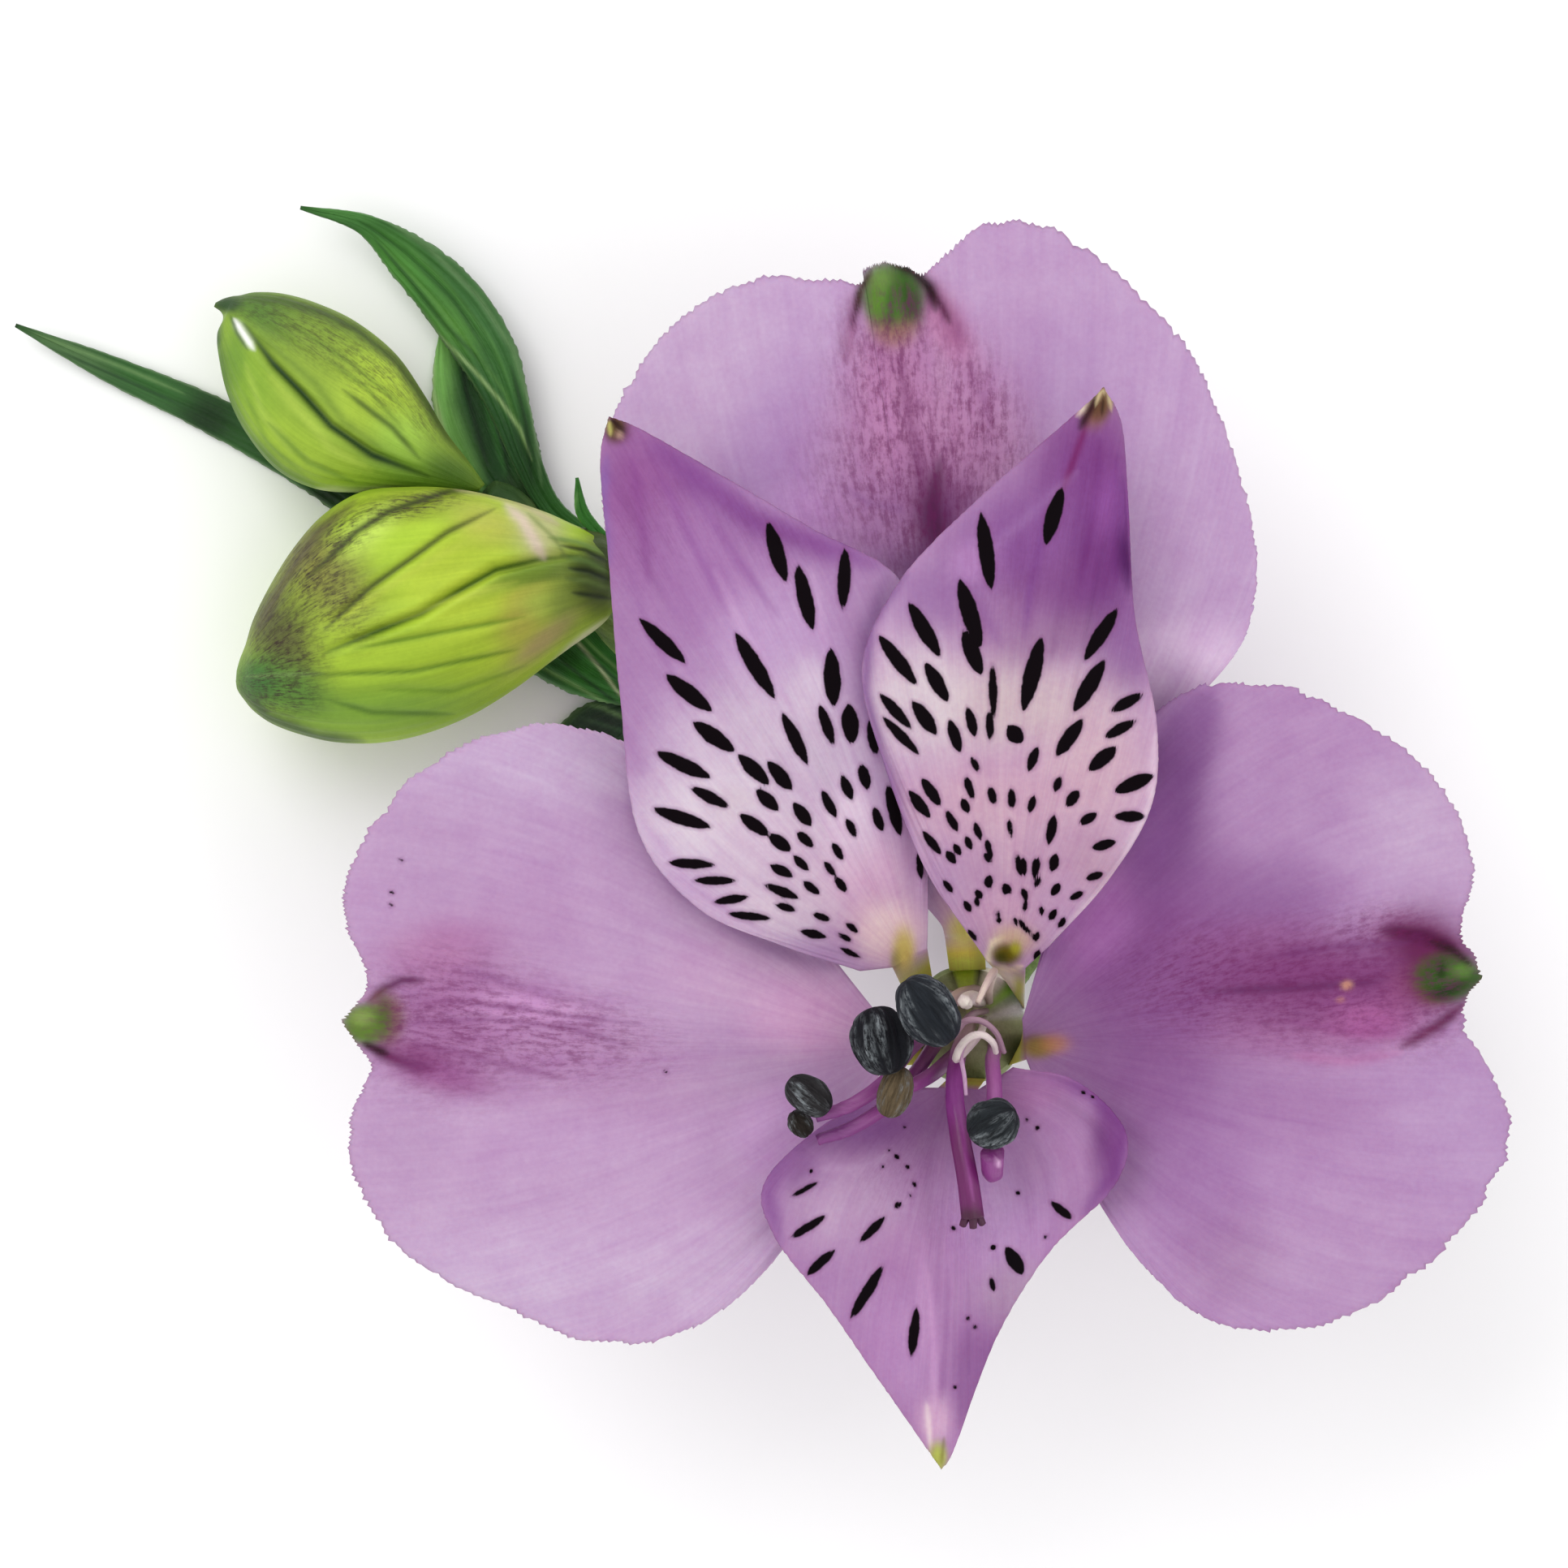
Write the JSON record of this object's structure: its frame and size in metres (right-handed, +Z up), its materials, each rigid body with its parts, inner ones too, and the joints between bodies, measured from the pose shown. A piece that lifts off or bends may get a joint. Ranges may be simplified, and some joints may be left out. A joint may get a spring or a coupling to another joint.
{
  "type": "alstroemeria stem",
  "caption": "Cut alstroemeria stem laid down, with an open lilac bloom, closed green buds, ribbed ovaries and narrow leaves.",
  "frame": {"origin": "middle of the part's box, on the surface that the cut stem lies on", "axes": "+Z up out of the open bloom's face, +X from the buds towards the bloom and the stem's cut end, +Y from the lower inner tepal towards the top outer tepal"},
  "size_m": [0.0935, 0.0788, 0.0397],
  "materials": {
    "outer_tepal": "satin petal",
    "inner_tepal": "satin petal",
    "filament": "satin",
    "anther": "powdery matte",
    "ovary": "satin",
    "bud": "satin",
    "leaf": "satin",
    "stem": "satin"
  },
  "bodies": {
    "root": {"stem": "stem", "bloom_ovary": "ovary", "bud_upper_ovary": "ovary", "bud_lower_ovary": "ovary", "bud_upper": "bud", "bud_lower": "bud", "leaf_long": "leaf", "leaf_support": "leaf", "leaf_arching": "leaf", "leaf_folded": "leaf", "leaf_bract": "leaf", "tepal_outer_top": "outer_tepal", "tepal_outer_left": "outer_tepal", "tepal_outer_right": "outer_tepal", "tepal_inner_left": "inner_tepal", "tepal_inner_right": "inner_tepal", "tepal_inner_lower": "inner_tepal", "style": "filament", "filament_1": "filament", "filament_2": "filament", "filament_3": "filament", "filament_4": "filament", "filament_5": "filament", "filament_6": "filament", "anther_1": "anther", "anther_2": "anther", "anther_3": "anther", "anther_4": "anther", "anther_5": "anther", "anther_6": "anther"}
  },
  "joints": []
}
